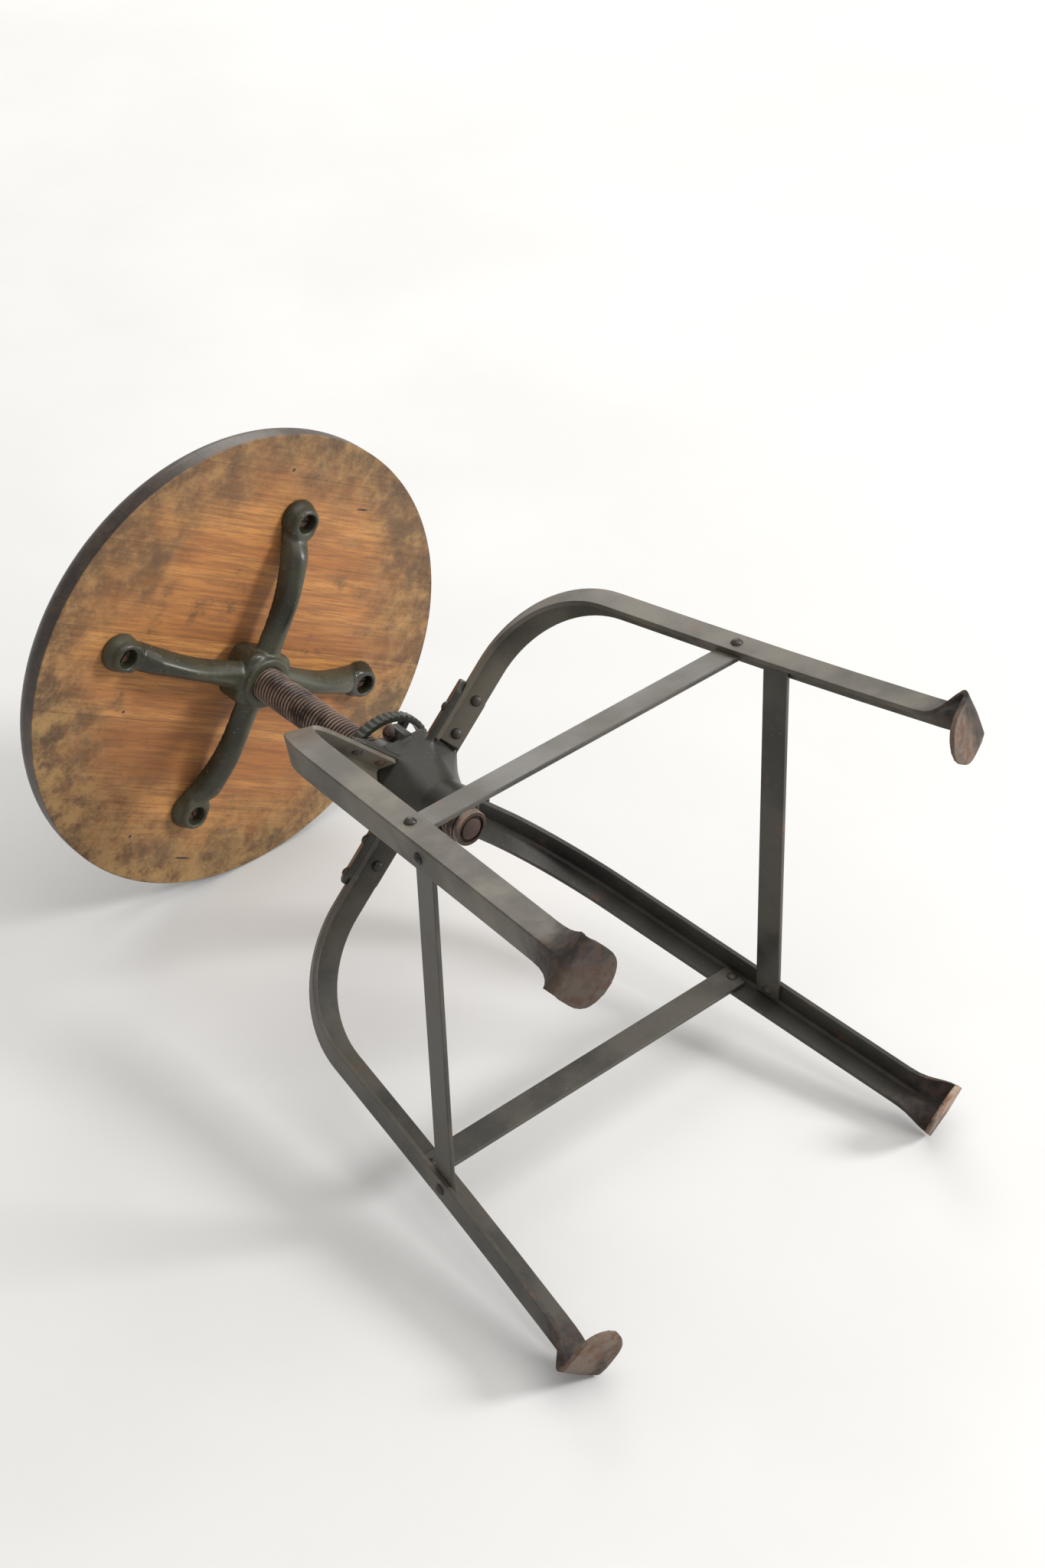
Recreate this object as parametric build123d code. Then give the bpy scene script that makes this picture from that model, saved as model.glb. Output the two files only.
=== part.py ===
"""Adjustable swivel stool: riveted angle-iron legs, cast hub, screw spindle, round wooden seat.

Units are millimetres. +Z is up, the feet stand on Z = 0 and the spindle is the Z axis.
The legs stand on the diagonals, so the braces run parallel to X and Y.
Each named piece is written to parts/NAME.step in its assembled place.
"""
import os
from math import acos, atan2, cos, hypot, pi, radians, sin, sqrt, tan

from build123d import *

# ---- driving dimensions ---------------------------------------------------------------------
SEAT_DIA = 355.6            # 14 in seat
SEAT_THICK = 25.4           # 1 in boards
SEAT_UNDER_Z = 556.6        # underside of the seat at the stored height
SEAT_WALL = 9.0             # straight part of the rim above the sharp lower edge
SEAT_ROUND = 16.0           # rounded-over upper edge
GRAIN_AZ = 31.2             # direction of the boards and of one pair of spider arms
BOARD_SEAMS = [-146.0, -81.0, -16.0, 49.0, 114.0]   # glue lines, measured across the grain

ANGLE_W = 19.05             # 3/4 in angle iron, outside of one flange
ANGLE_T = 3.2               # 1/8 in wall
RIDGE_FLAT = 0.7            # blunted outer corner of the angle
ROOT_FLAT = 1.6             # filled inner corner of the angle
LEG_TOP_Z = 368.6           # outer corner of the leg where it lies in the hub
LEG_START_R = 38.0          # inner end of the leg
BEND_START_R = 97.0         # where the big bend begins
BEND_R = 90.3               # radius of the big bend, at the outer corner
BEND_STEPS = 20             # straight pieces that follow the big bend
SPLAY = 9.84                # lean of the straight leg from vertical
FLARE_Z = 224.6             # where the leg starts to curve outwards
FLARE_SPLAY = 11.7          # lean at the foot
FORM_Z = 46.0               # where the angle starts to open out into the foot
HEEL_R = 237.0              # outer corner of the foot
FOOT_BEND_R = 5.0           # middle-surface radius of the fold at the foot
FOOT_HALF_W = 19.2          # half width of the oval pad
FOOT_LEN = 31.5             # length of the pad from the fold to its tip
WEAR = 1.6                  # depth worn flat off the tip of each pad

BRACE_W = 19.05             # 3/4 in flat bar
BRACE_T = 3.2
BRACE_UPPER_Z = 186.7       # front and back braces
BRACE_LOWER_Z = 163.7       # side braces
BRACE_TR_DROP = 4.0         # the +X side brace was bolted this much lower
BRACE_GAP = 0.3             # paint and seating gap to the leg flange
BRACE_END = 6.6             # end of a brace to the outer corner of the leg
BRACE_RIVET = 10.2          # brace rivet to the outer corner of the leg

RIVET_R = 3.0               # rivet shank
RIVET_HOLE_R = 3.05
RIVET_HEAD_R = 4.1
RIVET_HEAD_H = 2.6
RIVET_TAIL_R = 3.9
RIVET_TAIL_H = 1.7

HUB_T = 4.5                 # wall of the cast arms
HUB_ARM_IN = 20.0           # inside width of a cast flange
HUB_ARM_START_R, HUB_ARM_END_R = 12.0, 80.0
HUB_ARM_CHAMFER = 7.0
HUB_RIM_Z = 355.0           # lower rim of the eight-sided body
HUB_RIM_IR = 35.0           # across-flats radius at that rim
HUB_TOP_Z = 369.5
HUB_TOP_IR = 38.0
BELL_MID_Z, BELL_MID_R = 345.0, 27.5
BELL_LOW_Z, BELL_LOW_R = 332.0, 21.5
BELL_CORNERS = [2.0, 14.0, 20.6]   # the eight-sided rim blends to a round neck
BOSS_BOTTOM_Z = 315.0
BOSS_TOP_Z = 389.5
BOSS_TOP_R = 21.0
HUB_RIVETS = {1: [46.3, 72.3], -1: [59.3]}   # staggered: two on one flange, one between on the other
HUB_RIVET_IN = 12.5         # rivet to the outer corner of the leg

SPINDLE_R = 12.7            # 1 in screw
THREAD_PITCH = 3.175        # 8 threads per inch
THREAD_DEPTH = 1.1
SPINDLE_BOTTOM_Z = 298.2
SPINDLE_TOP_Z = 549.0
THREAD_TOP_Z = 522.0
RUNNING = 0.05              # radial running clearance
TENON_R = 8.0               # lower end of the spindle, inside the stop collar
TENON_HEAD_R = 10.0
TENON_HEAD_H = 2.6
COLLAR_R = 12.9
COLLAR_TOP_Z = 306.6

EAR_AT = (1.0, -36.0)       # cast ear on the hub's rim, beside the top boss
EAR_THICK = 8.0             # along the binding screw
EAR_WIDE = 11.0
EAR_TOP_Z = 385.0
EAR_ROUND = 5.0
BIND_AZ = 20.0              # the binding screw points this way, its head faces the other
BIND_GAP = 0.3              # under the screw's head
BIND_Z = 378.7
BIND_R = 3.1
BIND_HOLE_R = 3.18
BIND_LEN = 11.5
BIND_SLOT = (1.5, 20.0, 4.4)   # width, length and twice the depth
BIND_SLOT_TURN = 20.0
BIND_HEAD_R = 6.0
BIND_HEAD_H = 4.6

RING_R = 40.0
RING_RIM = 4.8              # radial width of the rim
RING_Z = [390.3, 398.5]
RING_SPOKE_Z = [391.6, 396.4]
RING_SPOKES = 5
RING_SPOKE_W = 8.0
RING_SPOKE_AZ = -52.0
RING_NUT_R = 18.0
RING_NUT_Z = [389.8, 402.0]
RING_NOTCHES = 48
RING_NOTCH_R = 1.5

SPIDER_HOLE_RAD = 115.9     # fixing holes from the spindle axis
SPIDER_BOSS_R = 14.4
SPIDER_BOSS_H = 13.5
SPIDER_ARM_W = 21.0
SPIDER_ARM_D = 11.0
SPIDER_HUB_W = 41.0
SPIDER_HUB_Z = [527.5, 551.0]
SPIDER_COLLAR_R = 19.5
SPIDER_COLLAR_Z = 523.7
SPIDER_CBORE_R = 7.2
SPIDER_CBORE_D = 9.3
SPIDER_HOLE_R = 3.6
PIN_R = 3.0
PIN_Z = 536.5
PIN_LEN = 39.0

SCREW_R = 3.1
SCREW_HEAD_R = 6.2
SCREW_HEAD_H = 3.0
SCREW_LEN = 17.0            # into the seat
SCREW_SLOT = 1.3

LEG_AZ = {"f": 225.0, "t": 315.0, "r": 45.0, "b": 135.0}
# hand-formed feet: slope of the pad below level, and its twist about the leg, in degrees
FOOT_FORM = {"f": (11.0, 5.0), "t": (20.0, 24.0), "r": (22.0, 6.0), "b": (11.0, -5.0)}

# ---- helpers --------------------------------------------------------------------------------
def polar(az, r, z=0.0):
    return Vector(r * cos(radians(az)), r * sin(radians(az)), z)


def turn(shape, az):
    return Rot(0, 0, az) * shape


def box_at(cx, cy, z0, z1, dx, dy):
    return Pos(cx, cy, (z0 + z1) / 2) * Box(dx, dy, z1 - z0)


def cyl(r, z0, z1, cx=0.0, cy=0.0):
    return Pos(cx, cy, (z0 + z1) / 2) * Cylinder(r, z1 - z0)


def plane_along(start, direction):
    """Plane at a point, with its Z along a direction."""
    d = direction.normalized()
    x = Vector(0, 0, 1).cross(d)
    if x.length < 1e-6:
        x = Vector(1, 0, 0)
    return Plane(origin=start, x_dir=x.normalized(), z_dir=d)


def rod(start, direction, r, length):
    """Cylinder of radius r that starts at a point and runs along a direction."""
    return plane_along(start, direction) * Pos(0, 0, length / 2) * Cylinder(r, length)


def button(start, direction, r, h):
    """Domed rivet or screw head of base radius r and height h, base centred at start."""
    ball = (r * r + h * h) / (2 * h)
    cap = (Pos(0, 0, h - ball) * Sphere(ball)) & (Pos(0, 0, h / 2) * Cylinder(r, h))
    return plane_along(start, direction) * cap


# ---- the leg, drawn in the +X radial plane ---------------------------------------------------
LEAN0, LEAN1 = radians(SPLAY), radians(FLARE_SPLAY)
BEND_C = (BEND_START_R, LEG_TOP_Z - BEND_R)
BEND_END = (BEND_C[0] + BEND_R * cos(LEAN0), BEND_C[1] + BEND_R * sin(LEAN0))


def lean_at(z):
    """Lean of the leg from vertical at height z, below the big bend."""
    return LEAN0 if z >= FLARE_Z else LEAN0 + (LEAN1 - LEAN0) * (FLARE_Z - z) / FLARE_Z


def corner_r(z):
    """Radius of the leg's outer corner at height z, below the big bend."""
    straight = BEND_END[0] + (BEND_END[1] - max(z, FLARE_Z)) * tan(LEAN0)
    return straight + max(0.0, FLARE_Z - z) * tan((LEAN0 + lean_at(z)) / 2)


def v_section(half_w, thick, half_angle):
    """Angle-iron outline as (across, inward) pairs; half_angle 45 is a right angle, 90 is flat."""
    s, c = sin(radians(half_angle)), cos(radians(half_angle))
    root = thick / s
    side = [
        (RIDGE_FLAT * s, RIDGE_FLAT * c),
        (half_w * s, half_w * c),
        (half_w * s - thick * c, half_w * c + thick * s),
        (ROOT_FLAT * s, root + ROOT_FLAT * c),
    ]
    return side + [(-x, y) for x, y in reversed(side)]


def section_face(points, origin, across, inward):
    return Face(Wire.make_polygon([origin + across * x + inward * y for x, y in points], close=True))


def foot_stations(slope, twist):
    """Sections from the leg into the pad: (origin, across, inward, half width, half angle)."""
    slope, twist = radians(slope), radians(twist)
    lean = lean_at(FORM_Z)
    down = Vector(sin(lean), 0, -cos(lean))
    top = Vector(corner_r(FORM_Z), 0, FORM_Z)
    outer_r = FOOT_BEND_R + ANGLE_T / 2
    fold_z = FOOT_LEN * sin(slope) - WEAR + outer_r * (cos(slope) + sin(lean))
    length = (FORM_Z - fold_z) / cos(lean)
    stations = []
    for part, half_angle in [(0, 45), (0.25, 46), (0.45, 50), (0.62, 57), (0.78, 67), (0.9, 77), (1, 85)]:
        swing = twist * part ** 2
        inward = Vector(-sin(swing), cos(swing), 0).cross(down).normalized()
        across = down.cross(inward)
        stations.append((top + down * (length * part), across, inward, ANGLE_W, half_angle))
    origin, across, inward = stations[-1][:3]
    axis = origin + inward * outer_r
    reach = hypot(cos(lean), inward.Z)
    total = atan2(-inward.Z, cos(lean)) + acos(sin(slope) / reach)
    steps = 6
    for k in range(1, steps + 1):
        a = total * k / steps
        normal = inward * cos(a) - down * sin(a)
        stations.append((axis - normal * outer_r, across, normal, FOOT_HALF_W - 0.6, 88))
    base = stations[-1][0]
    ahead = down * cos(total) + inward * sin(total)
    widest = 0.42
    for s in [0.12, 0.28, widest, 0.56, 0.68, 0.78, 0.86, 0.92, 0.96, 0.985, 1.0]:
        u = max(0.0, (s - widest) / (1 - widest))
        half = FOOT_HALF_W * max(0.22, (1 - u ** 2.2) ** 0.5)
        stations.append((base + ahead * (FOOT_LEN * s), across, stations[-1][2], half, 89))
    return stations


def shank_stations():
    """Sections from the hub end round the big bend and down the splayed shank."""
    sides = Vector(0, 1, 0)
    stations = [(Vector(LEG_START_R, 0, LEG_TOP_Z), sides, Vector(0, 0, -1), ANGLE_W, 45)]
    sweep_angle = pi / 2 - LEAN0
    for k in range(BEND_STEPS + 1):
        a = sweep_angle * k / BEND_STEPS
        outward = Vector(sin(a), 0, cos(a))
        origin = Vector(BEND_C[0], 0, BEND_C[1]) + outward * BEND_R
        stations.append((origin, sides, outward * -1, ANGLE_W, 45))
    for z in (FLARE_Z, 0.7 * FLARE_Z, 0.45 * FLARE_Z):
        lean = lean_at(z)
        stations.append((Vector(corner_r(z), 0, z), sides, Vector(-cos(lean), 0, -sin(lean)), ANGLE_W, 45))
    return stations


def leg_solid(slope, twist):
    """Angle-iron leg: hub end, big bend, splayed shank and formed foot, worn flat on the floor."""
    sections = [section_face(v_section(w, ANGLE_T, angle), origin, across, inward)
                for origin, across, inward, w, angle in shank_stations() + foot_stations(slope, twist)]
    floor = Pos(HEEL_R, 0, -10) * Box(120, 120, 20)
    return loft(sections, ruled=True) - floor


# ---- rivet places -----------------------------------------------------------------------------
HALF = sqrt(0.5)


def arm_rivet(r, side):
    """Outer-corner-side point and inward normal of a hub rivet on one flange of the +X arm."""
    outward = Vector(0, side * HALF, HALF)
    along = Vector(0, side * HALF, -HALF)
    return Vector(r, 0, LEG_TOP_Z) + along * HUB_RIVET_IN, outward


def riveted(outer_face, outward, grip):
    """Rivet with a button head outside and a flatter formed head inside."""
    shank = rod(outer_face, outward * -1, RIVET_R, grip)
    head = button(outer_face, outward, RIVET_HEAD_R, RIVET_HEAD_H)
    tail = button(outer_face - outward * grip, outward * -1, RIVET_TAIL_R, RIVET_TAIL_H)
    return shank + head + tail


def arm_rivets():
    out = []
    for side, radii in HUB_RIVETS.items():
        for r in radii:
            point, outward = arm_rivet(r, side)
            out.append(riveted(point + outward * HUB_T, outward, HUB_T + ANGLE_T))
    return out


def arm_rivet_holes():
    cutter = None
    for side, radii in HUB_RIVETS.items():
        for r in radii:
            point, outward = arm_rivet(r, side)
            hole = rod(point + outward * 12, outward * -1, RIVET_HOLE_R, 20)
            cutter = hole if cutter is None else cutter + hole
    return cutter


# braces: (name, azimuth of the brace's outward side, height, the legs at its ends)
BRACES = [("brace_ft", 270.0, BRACE_UPPER_Z), ("brace_tr", 0.0, BRACE_LOWER_Z - BRACE_TR_DROP),
          ("brace_rb", 90.0, BRACE_UPPER_Z), ("brace_bf", 180.0, BRACE_LOWER_Z)]


def brace_frame(z):
    """For a brace on the +X side: flange face point, outward normal and up direction."""
    c = corner_r(z) * HALF
    tilt = tan(lean_at(z)) * HALF
    outward = Vector(1, 0, tilt).normalized()
    up = Vector(-tilt, 0, 1).normalized()
    return c, outward, up


def brace_local(z):
    """Flat bar on the +X side, running along Y, with its two rivet holes."""
    c, outward, up = brace_frame(z)
    centre = Vector(c, 0, z) - outward * (ANGLE_T + BRACE_GAP + BRACE_T / 2)
    plane = Plane(origin=centre, x_dir=Vector(0, 1, 0), z_dir=outward)
    half = c - BRACE_END
    bar = plane * Box(2 * half, BRACE_W, BRACE_T)
    bar = fillet(bar.edges(), 0.5)
    for end in (-1, 1):
        bar = bar - brace_hole(z, end)
    return bar


def brace_rivet_point(z, end):
    c, outward, _ = brace_frame(z)
    return Vector(c, end * (c - BRACE_RIVET), z), outward


def brace_hole(z, end):
    point, outward = brace_rivet_point(z, end)
    return rod(point + outward * 8, outward * -1, RIVET_HOLE_R, 24)


def brace_rivets(z):
    out = []
    for end in (-1, 1):
        point, outward = brace_rivet_point(z, end)
        out.append(riveted(point + outward * 0.12, outward, ANGLE_T + BRACE_GAP + BRACE_T + 0.12))
    return out


# ---- hub ----------------------------------------------------------------------------------------
def hub_solid():
    """Cast hub: four V-shaped arms, eight-sided body with an ear, bell and bosses."""
    step = HUB_T * HALF
    edge_in = HUB_ARM_IN * HALF
    section = [(0, -HUB_T / HALF), (edge_in + step, edge_in - step), (edge_in, edge_in), (0, 0),
               (-edge_in, edge_in), (-edge_in - step, edge_in - step)]
    start = Vector(HUB_ARM_START_R, 0, LEG_TOP_Z)
    face = section_face(section, start, Vector(0, 1, 0), Vector(0, 0, -1))
    arm = extrude(face, amount=HUB_ARM_END_R - HUB_ARM_START_R, dir=(1, 0, 0))
    for side in (-1, 1):
        corner = Vector(HUB_ARM_END_R, side * (edge_in + step / 2), LEG_TOP_Z - edge_in + step / 2)
        plane = Plane(origin=corner, x_dir=Vector(1, 0, 0), z_dir=Vector(0, side * HALF, HALF))
        cut = plane * Rot(0, 0, 45) * Box(HUB_ARM_CHAMFER * 2 * HALF, HUB_ARM_CHAMFER * 2 * HALF, 14)
        arm = arm - cut
    arm = arm - arm_rivet_holes()
    body = loft([
        Plane.XY.offset(HUB_RIM_Z) * RegularPolygon(HUB_RIM_IR, 8, major_radius=False, rotation=22.5),
        Plane.XY.offset(HUB_TOP_Z) * RegularPolygon(HUB_TOP_IR, 8, major_radius=False, rotation=22.5),
    ], ruled=True)
    bell = loft([
        Plane.XY.offset(HUB_RIM_Z) * fillet(
            RegularPolygon(HUB_RIM_IR, 8, major_radius=False, rotation=22.5).vertices(), BELL_CORNERS[0]),
        Plane.XY.offset(BELL_MID_Z) * fillet(
            RegularPolygon(BELL_MID_R, 8, major_radius=False, rotation=22.5).vertices(), BELL_CORNERS[1]),
        Plane.XY.offset(BELL_LOW_Z) * fillet(
            RegularPolygon(BELL_LOW_R, 8, major_radius=False, rotation=22.5).vertices(), BELL_CORNERS[2]),
    ])
    boss = cyl(BELL_LOW_R - 0.3, BOSS_BOTTOM_Z, BELL_LOW_Z + 1)
    boss = fillet(boss.edges().filter_by(GeomType.CIRCLE).sort_by(Axis.Z)[0], 1.5)
    top = cyl(BOSS_TOP_R, HUB_TOP_Z - 1, BOSS_TOP_Z)
    ear = box_at(0, 0, HUB_TOP_Z - 3, EAR_TOP_Z, EAR_THICK, EAR_WIDE)
    ear = fillet(ear.edges().filter_by(Axis.X).sort_by(Axis.Z)[-2:], EAR_ROUND)
    ear = Pos(*EAR_AT, 0) * Rot(0, 0, BIND_AZ) * ear
    hub = body + bell + boss + top + ear
    for az in LEG_AZ.values():
        hub = hub + turn(arm, az)
    hub = hub - cyl(SPINDLE_R + RUNNING, BOSS_BOTTOM_Z - 1, BOSS_TOP_Z + 1)
    return hub - bind_axis_rod(BIND_HOLE_R, -BIND_LEN, BIND_LEN)


def bind_axis_rod(r, start, end):
    """Round bar on the binding screw's axis between two places measured from the ear."""
    at, along = Vector(*EAR_AT, BIND_Z), polar(BIND_AZ, 1.0)
    return rod(at + along * start, along, r, end - start)


def binding_screw_solid():
    """Slotted round-head screw that passes through the hub's ear."""
    at, along = Vector(*EAR_AT, BIND_Z), polar(BIND_AZ, 1.0)
    under_head = -EAR_THICK / 2 - BIND_GAP
    screw = bind_axis_rod(BIND_R, under_head, under_head + BIND_LEN)
    head_at = at + along * under_head
    screw = screw + button(head_at, along * -1, BIND_HEAD_R, BIND_HEAD_H)
    slot_plane = plane_along(head_at - along * BIND_HEAD_H, along)
    return screw - slot_plane * Rot(0, 0, BIND_SLOT_TURN) * Box(*BIND_SLOT)


def ring_solid():
    """Notched lock ring with spokes and a threaded centre."""
    outer = cyl(RING_R, *RING_Z)
    outer = fillet(outer.edges().filter_by(GeomType.CIRCLE), 1.0)
    rim = outer - cyl(RING_R - RING_RIM, RING_Z[0] - 1, RING_Z[1] + 1)
    notch = cyl(RING_NOTCH_R, RING_Z[0] - 1, RING_Z[1] + 1, RING_R + 0.4, 0)
    for k in range(RING_NOTCHES):
        rim = rim - turn(notch, 360.0 * k / RING_NOTCHES)
    nut = cyl(RING_NUT_R, *RING_NUT_Z)
    nut = fillet(nut.edges().filter_by(GeomType.CIRCLE), 1.2)
    ring = rim + nut
    length = RING_R - RING_RIM - RING_NUT_R + 3
    spoke = box_at(RING_NUT_R - 1 + length / 2, 0, *RING_SPOKE_Z, length, RING_SPOKE_W)
    spoke = fillet(spoke.edges().filter_by(Axis.X), 1.6)
    for k in range(RING_SPOKES):
        ring = ring + turn(spoke, RING_SPOKE_AZ + 360.0 * k / RING_SPOKES)
    return ring - cyl(SPINDLE_R + RUNNING, RING_NUT_Z[0] - 1, RING_NUT_Z[1] + 1)


# ---- spindle --------------------------------------------------------------------------------------
def spindle_solid():
    """Screw spindle; each turn of thread is drawn as one closed rounded ridge."""
    floor_r = SPINDLE_R - THREAD_DEPTH
    low = COLLAR_TOP_Z + RUNNING
    pts = [(0, SPINDLE_BOTTOM_Z), (TENON_HEAD_R, SPINDLE_BOTTOM_Z),
           (TENON_HEAD_R, SPINDLE_BOTTOM_Z + TENON_HEAD_H), (TENON_R, SPINDLE_BOTTOM_Z + TENON_HEAD_H),
           (TENON_R, low), (floor_r, low)]
    z = low + 1.5
    while z + THREAD_PITCH < THREAD_TOP_Z:
        pts += [(floor_r, z), (SPINDLE_R, z + 0.30 * THREAD_PITCH), (SPINDLE_R, z + 0.62 * THREAD_PITCH),
                (floor_r, z + 0.92 * THREAD_PITCH)]
        z += THREAD_PITCH
    pts += [(floor_r, z), (SPINDLE_R, z + 1), (SPINDLE_R, SPINDLE_TOP_Z - 1), (SPINDLE_R - 1, SPINDLE_TOP_Z),
            (0, SPINDLE_TOP_Z)]
    profile = Face(Wire.make_polygon([Vector(r, 0, h) for r, h in pts], close=True))
    spindle = revolve(profile, axis=Axis.Z)
    return spindle - spider_pin_rod(PIN_R + 0.02)


def stop_collar_solid():
    """Grooved collar that turns on the spindle's lower tenon and stops the screw."""
    collar = cyl(COLLAR_R, SPINDLE_BOTTOM_Z + 0.3, COLLAR_TOP_Z)
    collar = fillet(collar.edges().filter_by(GeomType.CIRCLE), 0.8)
    groove_z = COLLAR_TOP_Z - 2.6
    groove = cyl(COLLAR_R + 1, groove_z - 0.7, groove_z + 0.7) - cyl(COLLAR_R - 1.0, groove_z - 1, groove_z + 1)
    collar = collar - groove
    collar = collar - cyl(TENON_R + RUNNING, SPINDLE_BOTTOM_Z - 1, COLLAR_TOP_Z + 1)
    return collar - cyl(TENON_HEAD_R + RUNNING * 2, SPINDLE_BOTTOM_Z - 1,
                        SPINDLE_BOTTOM_Z + TENON_HEAD_H + RUNNING)


# ---- seat -----------------------------------------------------------------------------------------
def spider_pin_rod(r):
    return turn(rod(Vector(-PIN_LEN / 2, 0, PIN_Z), Vector(1, 0, 0), r, PIN_LEN), GRAIN_AZ + 45)


def spider_solid():
    """Cast four-armed seat spider with arched half-round arms and bored end bosses."""
    path = Edge.make_three_point_arc(Vector(8, 0, SEAT_UNDER_Z - 17.6), Vector(58, 0, SEAT_UNDER_Z - 14.1),
                                       Vector(106, 0, SEAT_UNDER_Z - 0.2))
    half, deep = SPIDER_ARM_W / 2, SPIDER_ARM_D
    plane = Plane(origin=path @ 0, x_dir=Vector(0, 1, 0), z_dir=path % 0)
    down = 1 if plane.y_dir.Z < 0 else -1
    outline = [(-half, 0), (-half, 0.28 * deep), (-0.78 * half, 0.66 * deep), (-0.36 * half, 0.94 * deep),
               (0, deep), (0.36 * half, 0.94 * deep), (0.78 * half, 0.66 * deep), (half, 0.28 * deep), (half, 0)]
    wire = Wire.make_polygon([plane.from_local_coords(Vector(x, down * y, 0)) for x, y in outline], close=True)
    arm = sweep(Face(wire), path=Wire([path]))
    arm = arm - box_at(60, 0, SEAT_UNDER_Z, SEAT_UNDER_Z + 20, 200, 60)
    boss = cyl(SPIDER_BOSS_R, SEAT_UNDER_Z - SPIDER_BOSS_H, SEAT_UNDER_Z)
    boss = Pos(SPIDER_HOLE_RAD, 0, 0) * fillet(
        boss.edges().filter_by(GeomType.CIRCLE).sort_by(Axis.Z)[0], 4.5)
    hub = box_at(0, 0, *SPIDER_HUB_Z, SPIDER_HUB_W, SPIDER_HUB_W)
    hub = fillet(hub.edges().filter_by(Axis.Z), 9.0)
    hub = fillet(hub.faces().sort_by(Axis.Z)[0].edges(), 3.5)
    collar = cyl(SPIDER_COLLAR_R, SPIDER_COLLAR_Z, SPIDER_HUB_Z[0] + 4)
    collar = fillet(collar.edges().filter_by(GeomType.CIRCLE).sort_by(Axis.Z)[0], 1.6)
    spider = hub + collar
    for k in range(4):
        az = 90.0 * k
        spider = spider + turn(arm, az) + turn(boss, az)
    for k in range(4):
        x, y = SPIDER_HOLE_RAD * cos(pi / 2 * k), SPIDER_HOLE_RAD * sin(pi / 2 * k)
        face_z = SEAT_UNDER_Z - SPIDER_BOSS_H
        spider = spider - cyl(SPIDER_HOLE_R, face_z - 1, SEAT_UNDER_Z + 1, x, y)
        spider = spider - cyl(SPIDER_CBORE_R, face_z - 8, face_z + SPIDER_CBORE_D, x, y)
    spider = turn(spider, GRAIN_AZ)
    spider = spider - cyl(SPINDLE_R + 0.02, SPIDER_COLLAR_Z - 1, SPINDLE_TOP_Z + 0.02)
    return spider - spider_pin_rod(PIN_R + 0.02)


def seat_screw(k):
    """Slotted wood screw under the seat, head recessed in the k-th boss."""
    az = GRAIN_AZ + 90.0 * k
    head_z = SEAT_UNDER_Z - SPIDER_BOSS_H + SPIDER_CBORE_D
    at = polar(az, SPIDER_HOLE_RAD)
    tip = SEAT_UNDER_Z + SCREW_LEN
    profile = [(0, head_z - SCREW_HEAD_H), (SCREW_HEAD_R - 1.6, head_z - SCREW_HEAD_H),
               (SCREW_HEAD_R, head_z - 1.2), (SCREW_HEAD_R, head_z), (SCREW_R, head_z), (SCREW_R, tip - 5), (0, tip)]
    body = revolve(Face(Wire.make_polygon([Vector(r, 0, z) for r, z in profile], close=True)), axis=Axis.Z)
    body = body - box_at(0, 0, head_z - SCREW_HEAD_H - 1, head_z - SCREW_HEAD_H + 1.3, 20, SCREW_SLOT)
    return Pos(at.X, at.Y, 0) * Rot(0, 0, 17.0 + 61.0 * k) * body


def seat_disc():
    """Round seat: sharp lower edge, short straight rim, rounded-over upper edge."""
    r, z = SEAT_DIA / 2, SEAT_UNDER_Z
    k = sqrt(0.5)
    rise = SEAT_THICK - SEAT_WALL
    mid = Vector(r - SEAT_ROUND + SEAT_ROUND * k, 0, z + SEAT_WALL + rise * k)
    edges = [
        Edge.make_line(Vector(0, 0, z), Vector(r - 0.6, 0, z)),
        Edge.make_line(Vector(r - 0.6, 0, z), Vector(r, 0, z + 0.6)),
        Edge.make_line(Vector(r, 0, z + 0.6), Vector(r, 0, z + SEAT_WALL)),
        Edge.make_three_point_arc(Vector(r, 0, z + SEAT_WALL), mid, Vector(r - SEAT_ROUND, 0, z + SEAT_THICK)),
        Edge.make_line(Vector(r - SEAT_ROUND, 0, z + SEAT_THICK), Vector(0, 0, z + SEAT_THICK)),
        Edge.make_line(Vector(0, 0, z + SEAT_THICK), Vector(0, 0, z)),
    ]
    return revolve(Face(Wire(edges)), axis=Axis.Z)


def seat_boards():
    disc = seat_disc()
    for k in range(4):
        at = polar(GRAIN_AZ + 90.0 * k, SPIDER_HOLE_RAD)
        disc = disc - cyl(SCREW_R + 0.02, SEAT_UNDER_Z - 1, SEAT_UNDER_Z + SCREW_LEN + 0.5, at.X, at.Y)
    limits = [-SEAT_DIA] + BOARD_SEAMS + [SEAT_DIA]
    boards = []
    for low, high in zip(limits[:-1], limits[1:]):
        slab = Pos(0, (low + high) / 2, SEAT_UNDER_Z + SEAT_THICK / 2) * Box(
            2 * SEAT_DIA, high - low, 2 * SEAT_THICK)
        boards.append(disc & turn(slab, GRAIN_AZ))
    return boards


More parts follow.
